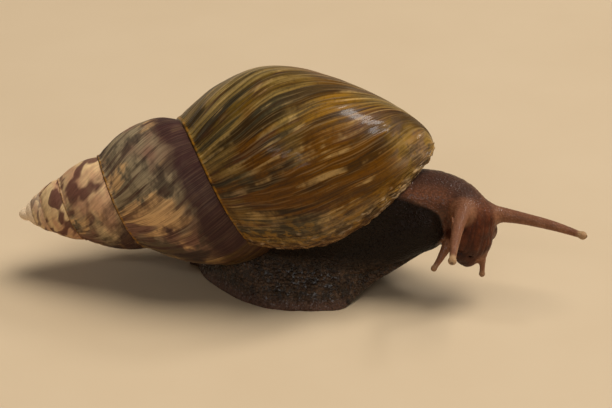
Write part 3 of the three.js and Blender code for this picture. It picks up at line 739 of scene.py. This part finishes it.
def build_skin():
    field = build_field()
    points, faces = surface_net(field)
    for _ in range(3):
        value, gradient = sample(field, points)
        length = np.maximum((gradient**2).sum(-1), 0.2)
        points = points - np.clip(value / length, -0.2, 0.2)[:, None] * gradient * 0.9
    normal = vertex_normals(points, faces)
    x, y, z = points.T

    # Where the parts of the body lie: 1 on the part and 0 off it.
    on_upper, on_lower, tip, share = np.zeros((4, len(points)))
    for path in UPPER_FEELERS:
        s, d = near_path(points, path)
        here = (1 - ramp(d, 1.9, 3.2)) * ramp(s, 0.02, 0.22)
        on_upper = np.maximum(on_upper, here)
        share = np.where(here > 0, s, share)
        tip = np.maximum(tip, near_place(points, path[-1], 0.8, 1.7))
    for path in LOWER_FEELERS:
        s, d = near_path(points, path)
        on_lower = np.maximum(on_lower, (1 - ramp(d, 1.2, 2.2)) * ramp(s, 0.05, 0.4))
        tip = np.maximum(tip, 0.45 * near_place(points, path[-1], 0.6, 1.4))
    along, neck_d = near_path(points, NECK[:, :3], 90)
    lobe = (1 - ramp(foot_front_distance(x, y, z), 0.2, 0.7)) * (1 - ramp(x, 26.2, 27.8))
    edge = np.interp(x, NECK_EDGE[:, 0], NECK_EDGE[:, 1])
    on_neck = (1 - ramp(neck_d, 6.6, 8.2)) * ramp(x, 12, 16) * (1 - lobe) * ramp(z, edge - 1.2, edge + 0.5)
    off_feelers = (1 - on_upper) * (1 - on_lower)
    face = on_neck * ramp(along, 0.50, 0.64) * off_feelers
    foot = (1 - on_neck) * off_feelers
    neck = on_neck * (1 - face)
    # painted shade: the mouth's opening darkened
    mouth = spot(points, MOUTH, MOUTH_SHADE)
    shaft = on_upper * (1 - tip)

    # Relief: warts on the foot and body, finer ones on the neck, grooves on the face, rings on the feelers.
    across = points @ HEAD_SIDE
    from_face = points - FACE
    warts = 0.6 - nearest(3, points / 0.8 + 50) ** 1.5
    small = 0.5 - nearest(4, points / array(0.62, 0.5, 0.5) + 80) ** 1.5
    grooves = noise(14, from_face @ HEAD_SIDE * 1.15, from_face @ HEAD_UP * 0.16)
    grooves = 1 - 2 * np.abs(grooves) ** 0.6
    rings = np.sin(share * 190 + 2.0 * noise(15, *(points / 2.0).T))
    heights = 0.09 * foot * warts * ramp(z, 0.2, 1.0)
    heights += 0.10 * neck * (1 - on_upper) * small
    heights += 0.12 * foot * noise(9, *(points / 3.1).T) * ramp(z, 0.3, 2)
    heights -= 0.13 * face * grooves
    heights += 0.07 * neck * noise(16, along * 60, across * 0.3) * ramp(along, 0.2, 0.4)
    heights += 0.045 * shaft * rings * (1 - ramp(share, 0.12, 0.5))
    heights += 0.03 * shaft * small
    points = points + normal * (heights * ramp(z, 0.0, 0.25))[:, None]
    points[:, 2] = np.maximum(points[:, 2], 0)
    points = inside_shell(points)
    return make_mesh("skin", points, faces, {
        "neck": on_neck,
        "face": face,
        "feeler": np.maximum(on_upper, on_lower),
        "tip": tip,
        "margin": foot * (1 - ramp(z, 0.6, 2.6)) * (x < 8),
        # high: the upper foot and body under the shell, which the skin paints near black as painted shade
        "high": foot * ramp(z, 4, 11),
        "along": along,
        "upside": normal[:, 2],
        "mouth": mouth,
        # painted shade in the face's grooves
        "groove": face * grooves,
        # painted sheen: a pale spot on the cheek
        "cheek_sheen": spot(points, CHEEK_SHEEN, 0.9),
    })


# ---- Materials ----


def srgb(r, g, b):
    linear = [(c / 255 / 12.92) if c <= 10 else ((c / 255 + 0.055) / 1.055) ** 2.4 for c in (r, g, b)]
    return (*linear, 1.0)


class Nodes:
    """A short way to write a material's nodes."""

    def __init__(self, name):
        self.material = bpy.data.materials.new(name)
        self.material.use_nodes = True
        self.tree = self.material.node_tree
        self.shader = self.tree.nodes["Principled BSDF"]

    def set(self, **inputs):
        """Sets the shader's inputs to numbers or colours, or links them."""
        for key, value in inputs.items():
            self.put(self.shader.inputs[key.replace("_", " ")], value)

    def put(self, socket, value):
        if isinstance(value, bpy.types.NodeSocket):
            self.tree.links.new(value, socket)
        else:
            socket.default_value = value

    def node(self, kind, output, inputs, **settings):
        """Adds a node with its settings and inputs, and returns one of its outputs."""
        node = self.tree.nodes.new(kind)
        for key, value in settings.items():
            setattr(node, key, value)
        for key, value in inputs.items():
            self.put(node.inputs[key], value)
        return node.outputs[output]

    def read(self, *names):
        """Values that the mesh holds at its points."""
        return [self.node("ShaderNodeAttribute", "Fac", {}, attribute_name=name) for name in names]

    def place(self):
        return self.node("ShaderNodeTexCoord", "Object", {})

    def math(self, operation, a, b, clamp=False):
        return self.node("ShaderNodeMath", 0, {0: a, 1: b}, operation=operation, use_clamp=clamp)

    def times(self, first, *others):
        for other in others:
            first = self.math("MULTIPLY", first, other)
        return first

    def plus(self, first, *others):
        for other in others:
            first = self.math("ADD", first, other)
        return first

    def minus(self, a, b):
        return self.math("SUBTRACT", a, b)

    def vector(self, x, y, z=0.0):
        return self.node("ShaderNodeCombineXYZ", 0, {0: x, 1: y, 2: z})

    def noise(self, vector, scale=1.0, detail=3.0, rough=0.55):
        inputs = {"Vector": vector, "Scale": scale, "Detail": detail, "Roughness": rough}
        return self.node("ShaderNodeTexNoise", "Fac", inputs)

    def streaks(self, age, across, seed, width, length, octaves=3):
        """Noise drawn out along the growth lines, with width streaks to a turn and length to a section."""
        parts = []
        for octave in range(octaves):
            place = self.vector(
                self.times(age, width * 2.1**octave),
                self.times(across, length * 1.35**octave),
                seed + 4.7 * octave,
            )
            share = 0.5 ** min(octave + 1, octaves - 1)
            parts.append(self.times(self.noise(place, detail=0), share))
        return self.plus(*parts)

    def cells(self, vector, scale):
        return self.node("ShaderNodeTexVoronoi", "Distance", {"Vector": vector, "Scale": scale})

    def ramp(self, value, *stops):
        node = self.tree.nodes.new("ShaderNodeValToRGB")
        while len(node.color_ramp.elements) < len(stops):
            node.color_ramp.elements.new(0.5)
        for element, (position, colour) in zip(node.color_ramp.elements, stops):
            element.position = position
            element.color = srgb(*colour)
        self.put(node.inputs["Fac"], value)
        return node.outputs["Color"]

    def level(self, value, low, high):
        """From 0 at low to 1 at high, smoothly. Low may be the larger one."""
        inputs = {"Value": value, "From Min": low, "From Max": high}
        return self.node("ShaderNodeMapRange", "Result", inputs, interpolation_type="SMOOTHSTEP")

    def mix(self, factor, a, b):
        """Two colours, each a node's or three numbers, blended by a factor."""
        a, b = (srgb(*colour) if isinstance(colour, tuple) else colour for colour in (a, b))
        return self.node("ShaderNodeMix", 2, {0: factor, 6: a, 7: b}, data_type="RGBA")

    def paint(self, colour, *layers):
        """Lays colours over one another. A layer is a colour, its strength and the masks it keeps to."""
        for layer, strength, *masks in layers:
            colour = self.mix(self.times(*masks, strength), colour, layer)
        return colour

    def bump(self, height, distance, strength):
        inputs = {"Height": height, "Distance": distance, "Strength": strength}
        return self.node("ShaderNodeBump", "Normal", inputs)


def shell_material():
    m = Nodes("shell_surface")
    age, across, turn, inside, wear = m.read("growth", "across", "turn", "inside", "wear")
    waver = m.noise(m.vector(m.times(age, 8.0), m.times(across, 2.0), 40.0), detail=1.5)
    age = m.plus(age, m.times(waver, 0.012))

    def spread(*settings):
        """Streaks: seed, number to a turn, number to a section, octaves."""
        return m.streaks(age, across, *settings)

    def patches(seed, width, length, detail=3.0, rough=0.6, by=age):
        """Patches: number to a turn and number to a section."""
        place = m.vector(m.times(by, width), m.times(across, length), seed)
        return m.noise(place, detail=detail, rough=rough)

    broad = spread(0.0, 9.0, 0.7, 2)
    streak = spread(3.0, 33.0, 0.8)
    second = spread(31.0, 48.0, 1.0)
    thread = spread(9.0, 125.0, 1.6, 2)
    hair = spread(17.0, 360.0, 2.8, 2)
    patch = patches(21.0, 12.0, 2.5, 4.0)
    cloud = patches(55.0, 6.0, 1.5, 2.0)
    lump = patches(95.0, 72.0, 8.0, 4.0)
    blotch = patches(57.0, 9.0, 2.6, 4.0)

    toward_lip = m.level(turn, 6.66, 6.93)
    brown = m.times(m.level(second, 0.53, 0.60), m.level(patch, 0.40, 0.58))
    dark = m.times(m.level(streak, 0.485, 0.43), m.level(patch, 0.62, 0.45))
    lines = m.level(thread, 0.46, 0.38)
    corner = m.times(m.level(turn, 6.68, 6.82), m.level(across, 1.36, 1.60))
    lip_zone = m.math("MAXIMUM", m.level(turn, 6.89, 6.975), m.times(corner, 0.6))

    # The last whorl: ochre and olive with dark and straw streaks, and lumps by the lip.
    gold = m.mix(m.level(broad, 0.42, 0.56), (146, 104, 14), (94, 58, 3))
    gold = m.paint(gold, ((92, 54, 4), 0.7, toward_lip))
    olive = m.mix(m.level(second, 0.40, 0.60), (140, 116, 64), (96, 73, 20))
    corner_tint = m.mix(m.level(patches(99.0, 34.0, 5.0), 0.44, 0.56), (142, 112, 88), (150, 116, 50))
    body = m.mix(m.minus(m.level(cloud, 0.40, 0.60), m.times(toward_lip, 0.45)), gold, olive)
    body = m.paint(
        body,
        ((72, 42, 28), 0.8, brown),
        ((180, 152, 106), 0.55, m.level(spread(111.0, 17.0, 0.8), 0.52, 0.62), m.level(cloud, 0.62, 0.48)),
        ((42, 29, 10), 0.88, dark),
        ((58, 54, 38), 0.75, m.level(spread(83.0, 52.0, 0.9), 0.455, 0.40), m.level(cloud, 0.34, 0.54)),
        ((86, 52, 1), 0.34, m.level(across, 0.72, 0.95)),
        ((192, 158, 100), 0.42, m.level(thread, 0.54, 0.62), m.level(patch, 0.46, 0.60)),
        ((42, 28, 14), 0.42, lines),
        ((44, 30, 14), 0.3, m.level(patches(91.0, 230.0, 34.0, 2.0), 0.50, 0.34)),
        (corner_tint, 0.5, corner),
        ((70, 54, 34), 0.62, m.level(patches(103.0, 58.0, 7.0, 4.0), 0.50, 0.58), corner),
        ((154, 112, 38), 0.62, m.level(lump, 0.50, 0.60), lip_zone),
        ((52, 34, 12), 0.7, m.level(lump, 0.48, 0.38), lip_zone),
    )

    # The whorl before it: purple-brown and grey with cream patches, and a dark band by the suture.
    early = m.mix(m.level(cloud, 0.42, 0.58), (148, 131, 103), (126, 92, 76))
    early = m.paint(
        early,
        ((70, 62, 52), 0.8, m.level(blotch, 0.52, 0.42)),
        ((212, 170, 118), 0.9, m.level(spread(61.0, 13.0, 1.5), 0.50, 0.57), m.level(blotch, 0.46, 0.54)),
        ((70, 40, 38), 0.75, brown),
        ((48, 34, 34), 0.7, dark),
        ((46, 30, 28), 0.28, lines),
        ((66, 42, 16), 0.35, m.level(across, 0.55, 0.85)),
        ((56, 34, 34), 0.88, m.level(m.plus(across, m.times(patch, 0.36)), 0.86, 1.0)),
    )

    # The first whorls: pinkish cream with brown flames.
    first = m.mix(m.level(cloud, 0.4, 0.6), (224, 192, 144), (200, 156, 120))
    first = m.paint(
        first,
        ((92, 54, 50), 0.9, m.level(patches(74.0, 11.0, 1.7, 1.5), 0.485, 0.56)),
        ((128, 92, 76), 0.2, m.level(thread, 0.47, 0.40)),
        ((120, 86, 72), 0.4, m.level(across, 0.22, 0.04)),
    )
    colour = m.mix(m.level(turn, 3.4, 1.6), first, (255, 228, 194))
    colour = m.mix(m.level(m.plus(turn, m.times(patch, 0.6)), 5.05, 5.35), colour, early)
    colour = m.mix(m.level(m.plus(turn, m.times(streak, 0.3)), 6.12, 6.3), colour, body)

    # Hair lines, sutures, the worn lip and the inside.
    lip = m.level(turn, 6.975, 6.994)
    broken = m.noise(m.vector(m.times(turn, 70.0), 3.0))
    line = m.times(m.level(across, 0.036, 0.018), m.level(turn, 3.5, 5.5), m.level(broken, 0.38, 0.58))
    rim = m.ramp(
        spread(77.0, 900.0, 9.0, 2),
        (0.34, (22, 14, 10)), (0.45, (54, 28, 18)), (0.53, (92, 60, 26)), (0.64, (158, 122, 74)),
    )
    chip = patches(5.0, 120.0, 11.0, 4, 0.55, turn)
    flake = m.times(m.level(wear, 0.30, 0.60), m.level(chip, 0.46, 0.56))
    grime = patches(15.0, 170.0, 22.0, 4, 0.55, turn)
    end = m.times(m.level(turn, 6.90, 6.99), m.math("ADD", 0.4, m.level(across, 1.0, 1.4), clamp=True))
    glint = m.plus(0.04, m.times(m.level(turn, 6.0, 6.4), 0.06))
    colour = m.paint(
        colour,
        ((30, 22, 16), 0.34, m.level(hair, 0.48, 0.36)),
        ((196, 168, 120), glint, m.level(hair, 0.54, 0.66)),
        ((158, 108, 26), 0.85, line),
        ((36, 26, 20), 0.85, m.level(across, 0.014, 0.004), m.level(turn, 1.0, 3.0)),
        (rim, 0.9, lip),
        ((172, 146, 112), 0.6, flake),
        ((42, 30, 22), 0.85, m.level(grime, 0.54, 0.62), end),
    )
    porcelain = m.mix(m.level(turn, 6.97, 6.998), (176, 168, 168), (74, 56, 36))
    rough = m.plus(0.27, m.times(m.level(turn, 6.3, 5.4), 0.2), m.times(m.plus(lip, flake), 0.25))
    height = m.minus(m.plus(m.times(hair, 0.9), m.times(thread, 1.3)), m.times(dark, 0.2))
    m.set(
        Base_Color=m.mix(inside, colour, porcelain),
        Roughness=m.plus(rough, m.times(thread, 0.16)),
        Specular_IOR_Level=0.10,
        Coat_Weight=m.times(m.level(turn, 5.8, 6.4), 0.14),
        Coat_Roughness=0.12,
        Normal=m.bump(height, 0.00010, 0.85),
    )
    return m.material


def skin_material():
    m = Nodes("skin_surface")
    on_neck, on_face, on_feeler, tip, margin = m.read("neck", "face", "feeler", "tip", "margin")
    high, along, upside, mouth, groove, cheek_sheen = m.read("high", "along", "upside", "mouth", "groove", "cheek_sheen")
    place = m.place()
    mottle = m.noise(place, 420.0, detail=4, rough=0.6)
    blotch = m.noise(place, 150.0, detail=3, rough=0.6)
    grain = m.noise(place, 2600.0, detail=2)
    wart = m.cells(place, 1250.0)
    pip = m.cells(place, 2300.0)
    dome = m.level(wart, 0.62, 0.05)
    small = m.level(pip, 0.62, 0.05)
    patchy = m.level(mottle, 0.35, 0.65)
    pits = m.level(pip, 0.4, 0.75)

    foot = m.paint(
        m.mix(patchy, (56, 40, 28), (94, 72, 56)),
        ((12, 9, 7), 0.7, m.level(wart, 0.35, 0.75)),
        ((70, 56, 44), 0.35, m.level(dome, 0.75, 1.0)),
        # painted shade: the upper foot and body under the shell's lip nearly black
        ((17, 7, 2), 0.97, high),
        ((96, 68, 56), 0.7, margin),
    )
    neck = m.paint(
        m.mix(patchy, (76, 42, 24), (98, 58, 35)),
        ((132, 84, 58), 0.3, m.level(blotch, 0.45, 0.62)),
        ((56, 36, 28), 0.85, m.plus(m.level(upside, 0.62, 0.97), m.times(mottle, 0.1))),
        ((44, 28, 20), 0.38, pits),
    )
    face = m.paint(
        m.mix(patchy, (60, 24, 6), (90, 42, 18)),
        # painted shade: the face darker in its sunken grooves
        ((46, 20, 10), 0.6, m.level(groove, -0.1, 0.7)),
        ((44, 20, 10), 0.45, m.level(along, 0.80, 0.97)),
    )
    feeler = m.paint(
        m.mix(patchy, (120, 77, 51), (138, 93, 65)),
        ((92, 60, 46), 0.5, m.level(upside, 0.1, 0.9)),
        ((84, 52, 36), 0.35, pits),
    )
    colour = m.mix(on_neck, foot, neck)
    colour = m.mix(on_face, colour, face)
    colour = m.mix(on_feeler, colour, feeler)
    colour = m.paint(
        colour,
        # painted sheen: a pale spot on the cheek
        ((170, 142, 120), 0.35, cheek_sheen),
        # painted shade in the mouth's opening
        ((30, 12, 6), 0.6, mouth),
        ((162, 130, 94), 0.85, tip),
    )

    # The foot is wettest low down, and the face drier than the neck.
    on_foot = m.minus(1.0, m.math("MAXIMUM", on_neck, on_feeler))
    low = m.times(on_foot, m.minus(1.0, high))
    wet = m.times(m.minus(1.0, on_foot), m.minus(0.2, m.times(on_face, 0.13)))
    damp = m.plus(wet, m.minus(0.10, m.times(high, 0.08)))
    coarse = m.times(dome, m.plus(m.times(on_foot, 0.3), low))
    fine = m.times(small, m.plus(0.18, m.times(on_foot, 0.25)))
    bumped = m.bump(m.plus(coarse, fine, m.times(grain, 0.12)), 0.00034, 1.0)
    m.set(
        Base_Color=colour,
        Roughness=m.plus(0.46, m.times(grain, 0.2)),
        Specular_IOR_Level=0.16,
        Coat_Weight=m.plus(damp, m.times(low, 0.40)),
        Coat_Roughness=0.13,
        Subsurface_Weight=0.1,
        Subsurface_Radius=(1.0, 0.45, 0.25),
        Subsurface_Scale=0.0012,
        Normal=bumped,
        Coat_Normal=bumped,
    )
    return m.material


def eye_material():
    m = Nodes("eye_surface")
    m.set(
        Base_Color=m.mix(m.noise(m.place(), 2400.0), (66, 42, 24), (110, 76, 44)),
        Roughness=0.2,
        Coat_Weight=0.6,
        Coat_Roughness=0.08,
    )
    return m.material


def floor_material():
    m = Nodes("floor_surface")
    m.set(Base_Color=m.mix(m.noise(m.place(), 30.0), (192, 171, 142), (199, 179, 151)), Roughness=0.6)
    return m.material


# ---- The snail ----

FLESH_NODES = [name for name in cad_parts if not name.startswith(("shell_", "eye_"))]

shell = build_shell()
shell.data.materials.append(shell_material())
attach(shell, "root")
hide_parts("shell_spire", "shell_body_whorl")

skin = build_skin()
skin.data.materials.append(skin_material())
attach(skin, "root")
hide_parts(*FLESH_NODES)

eye_look = eye_material()
for side in ("left", "right"):
    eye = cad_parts["eye_" + side].data
    eye.materials.clear()
    eye.materials.append(eye_look)
    eye.polygons.foreach_set("use_smooth", np.ones(len(eye.polygons), bool))

# ---- Floor, light and camera ----

FLOOR_HALF = 3.0
BODY_CENTRE = (0, 0, 0.02)
HORIZON = (0.02, (0.60, 0.48, 0.34, 1))  # the share of the sky's height, and the colour there
ZENITH = (0.22, (0.12, 0.114, 0.106, 1))
PHOTO_WIDTH = 612
FOCAL_PIXELS = 2100
SENSOR_WIDTH = 36
CAMERA_ELEVATION = math.radians(28)
CAMERA_DISTANCE = 426.8
CAMERA_AIM = array(0, 0, 16.4)


def add_object(name, data):
    obj = bpy.data.objects.new(name, data)
    scene.collection.objects.link(obj)
    return obj


def build_floor():
    corners = [(x * FLOOR_HALF, y * FLOOR_HALF, 0) for x, y in ((-1, -1), (1, -1), (1, 1), (-1, 1))]
    mesh = bpy.data.meshes.new("floor")
    mesh.from_pydata(corners, [], [(0, 1, 2, 3)])
    mesh.materials.append(floor_material())
    add_object("floor", mesh)


def build_sky():
    """A sky that is pale and warm near the horizon and darker above."""
    world = bpy.data.worlds.new("studio")
    world.use_nodes = True
    nodes, links = world.node_tree.nodes, world.node_tree.links
    height = nodes.new("ShaderNodeSeparateXYZ")
    fade = nodes.new("ShaderNodeValToRGB")
    for stop, (place, colour) in zip(fade.color_ramp.elements, (HORIZON, ZENITH)):
        stop.position = place
        stop.color = colour
    links.new(nodes.new("ShaderNodeTexCoord").outputs["Generated"], height.inputs[0])
    links.new(height.outputs["Z"], fade.inputs["Fac"])
    links.new(fade.outputs["Color"], nodes["Background"].inputs["Color"])
    nodes["Background"].inputs["Strength"].default_value = 1.0
    scene.world = world


def add_light(name, kind, place, aim, power, colour, **settings):
    light = bpy.data.lights.new(name, kind)
    light.energy = power
    light.color = colour
    for key, value in settings.items():
        setattr(light, key, value)
    obj = add_object(name, light)
    obj.location = place
    obj.rotation_euler = (Vector(aim) - Vector(place)).to_track_quat("-Z", "Y").to_euler()
    return obj


def build_camera():
    """The photo's view: its frame is as wide as the sensor, and the focal length is known in pixels."""
    data = bpy.data.cameras.new("camera")
    data.sensor_width = SENSOR_WIDTH
    data.lens = FOCAL_PIXELS / PHOTO_WIDTH * SENSOR_WIDTH
    data.clip_start = 0.01
    data.clip_end = 20
    toward = array(0, -math.cos(CAMERA_ELEVATION), math.sin(CAMERA_ELEVATION))
    camera = add_object("camera", data)
    camera.location = (CAMERA_AIM + toward * CAMERA_DISTANCE + OFFSET) * MM
    camera.rotation_mode = "QUATERNION"
    camera.rotation_quaternion = Vector(-toward).to_track_quat("-Z", "Y")
    scene.camera = camera


build_floor()
build_sky()
key = add_light("key", "SUN", (0.20, 0.02, 0.56), (0, 0, 0), 3.0, (1.0, 0.94, 0.84), angle=math.radians(39))
key.visible_glossy = False
add_light("side", "AREA", (0.434, 0.21, 0.53), BODY_CENTRE, 1.1, (1.0, 0.96, 0.90),
          shape="DISK", size=0.13)
add_light("low_side", "AREA", (0.53, 0.05, 0.47), BODY_CENTRE, 0.3, (0.97, 0.98, 1.0),
          shape="DISK", size=0.07)
add_light("front", "AREA", (-0.06, -0.52, 0.44), BODY_CENTRE, 0.6, (1.0, 0.98, 0.95),
          shape="ELLIPSE", size=0.6, size_y=0.08)
build_camera()
scene.view_settings.view_transform = "Standard"
